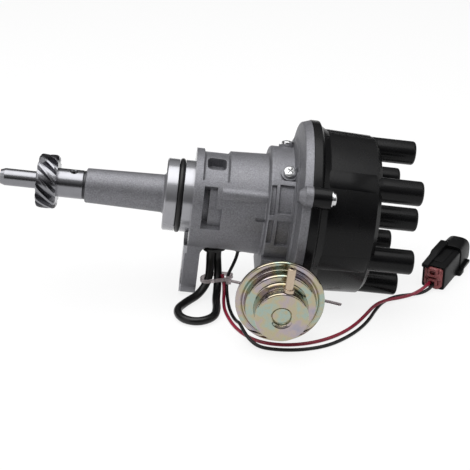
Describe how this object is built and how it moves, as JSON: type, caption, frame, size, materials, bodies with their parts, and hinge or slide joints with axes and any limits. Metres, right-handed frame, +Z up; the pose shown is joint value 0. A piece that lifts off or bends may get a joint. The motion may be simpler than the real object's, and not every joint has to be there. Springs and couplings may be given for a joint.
{
  "type": "ignition distributor",
  "caption": "Gear-driven ignition distributor with cast housing, plug-lead cap, vacuum advance unit and wired pickup lead with connector.",
  "frame": {"origin": "on the drive shaft's axis, at the middle of the pilot's plain land", "axes": "+Z up from the table that the part lies on; +X from the gear towards the cap, level, with the shaft's axis tipped 7 degrees down towards the cap; -Y towards the vacuum unit"},
  "size_m": [0.3392, 0.1643, 0.1244],
  "materials": {
    "cast_aluminium": "as cast, lightly blasted",
    "black_rubber": "matt",
    "ground_steel": "ground",
    "dark_steel": "oiled",
    "sintered_bronze": "oil-filled",
    "plated_steel": "zinc plated",
    "spring_steel": "bright",
    "brown_moulding": "moulded",
    "chromed_steel": "bright",
    "black_moulding": "moulded",
    "brass": "satin",
    "cap_moulding": "semi-gloss",
    "terminal_aluminium": "satin",
    "carbon": "matt",
    "yellow_zinc": "yellow passivated zinc",
    "nipple_zinc": "yellow passivated zinc",
    "sleeve_vinyl": "satin",
    "black_vinyl": "satin",
    "red_vinyl": "satin",
    "tie_nylon": "translucent",
    "connector_black": "moulded",
    "connector_brown": "moulded",
    "copper": "bright"
  },
  "bodies": {
    "housing_body": {"housing": "cast_aluminium", "pilot_ring": "black_rubber", "shaft_seal": "black_rubber", "cap_seal": "black_rubber", "sleeve_grommet": "black_rubber", "wire_grommet": "black_rubber", "vacuum_diaphragm": "black_rubber", "thrust_washer": "dark_steel", "lower_bush": "sintered_bronze", "upper_bush": "sintered_bronze", "base_plate": "plated_steel", "bowl_screws": "chromed_steel", "bracket_screws": "chromed_steel", "cap_screws": "chromed_steel", "cap_washers": "chromed_steel", "cap": "cap_moulding", "side_terminals": "terminal_aluminium", "center_terminal": "terminal_aluminium", "brush_spring": "spring_steel", "vacuum_front_shell": "yellow_zinc", "vacuum_rear_shell": "yellow_zinc", "vacuum_nipple": "nipple_zinc", "vacuum_bracket": "yellow_zinc", "vacuum_spring": "spring_steel", "sleeve_loop": "sleeve_vinyl", "black_wire": "black_vinyl", "red_wire": "red_vinyl", "cable_tie": "tie_nylon", "connector_shell": "connector_black", "connector_insert": "connector_brown", "connector_contact": "copper"},
    "shaft_body": {"drive_shaft": "ground_steel", "drive_gear": "ground_steel", "gear_pin": "dark_steel", "weight_plate": "plated_steel", "advance_springs": "spring_steel"},
    "sleeve_body": {"advance_sleeve": "ground_steel", "reluctor": "dark_steel", "rotor": "black_moulding", "rotor_blade": "brass", "rotor_screw": "chromed_steel"},
    "weight_1_body": {"weight_1": "plated_steel"},
    "weight_2_body": {"weight_2": "plated_steel"},
    "pickup_body": {"pickup_plate": "plated_steel", "pole_piece": "dark_steel", "pickup_coil": "brown_moulding"},
    "rod_body": {"vacuum_rod": "plated_steel"},
    "brush_body": {"carbon_brush": "carbon"}
  },
  "joints": [
    {"name": "shaft_spin", "type": "hinge", "parent": "housing_body", "child": "shaft_body", "pos_m": [0, 0, 0], "axis": [0.9925, 0, -0.1219], "continuous": true},
    {"name": "rotor_advance", "type": "hinge", "parent": "shaft_body", "child": "sleeve_body", "pos_m": [0.05926, 0, -0.00728], "axis": [0.9925, 0, -0.1219], "range_deg": [0, 12], "stiffness_Nm_per_rad": 0.05},
    {"name": "weight_1_swing", "type": "hinge", "parent": "shaft_body", "child": "weight_1_body", "pos_m": [0.05065, 0, 0.01292], "axis": [0.9925, 0, -0.1219], "range_deg": [-13.4, 0]},
    {"name": "weight_2_swing", "type": "hinge", "parent": "shaft_body", "child": "weight_2_body", "pos_m": [0.04602, 0, -0.02479], "axis": [0.9925, 0, -0.1219], "range_deg": [-13.4, 0]},
    {"name": "vacuum_advance", "type": "hinge", "parent": "housing_body", "child": "pickup_body", "pos_m": [0.07117, 0, -0.00874], "axis": [-0.9925, 0, 0.1219], "range_deg": [0, 8], "stiffness_Nm_per_rad": 0.2},
    {"name": "vacuum_rod_slide", "type": "slide", "parent": "housing_body", "child": "rod_body", "axis": [0, -1, 0], "range_m": [0, 0.00495], "deforming": ["vacuum_spring"]},
    {"name": "brush_slide", "type": "slide", "parent": "housing_body", "child": "brush_body", "axis": [0.9925, 0, -0.1219], "range_m": [0, 0.001], "stiffness_N_per_m": 200, "deforming": ["brush_spring"]}
  ],
  "couplings": [
    {"joint": "weight_1_swing", "follows": "rotor_advance", "ratio": -1.11},
    {"joint": "weight_2_swing", "follows": "rotor_advance", "ratio": -1.11},
    {"joint": "vacuum_rod_slide", "follows": "vacuum_advance", "m_per_rad": 0.0352}
  ]
}
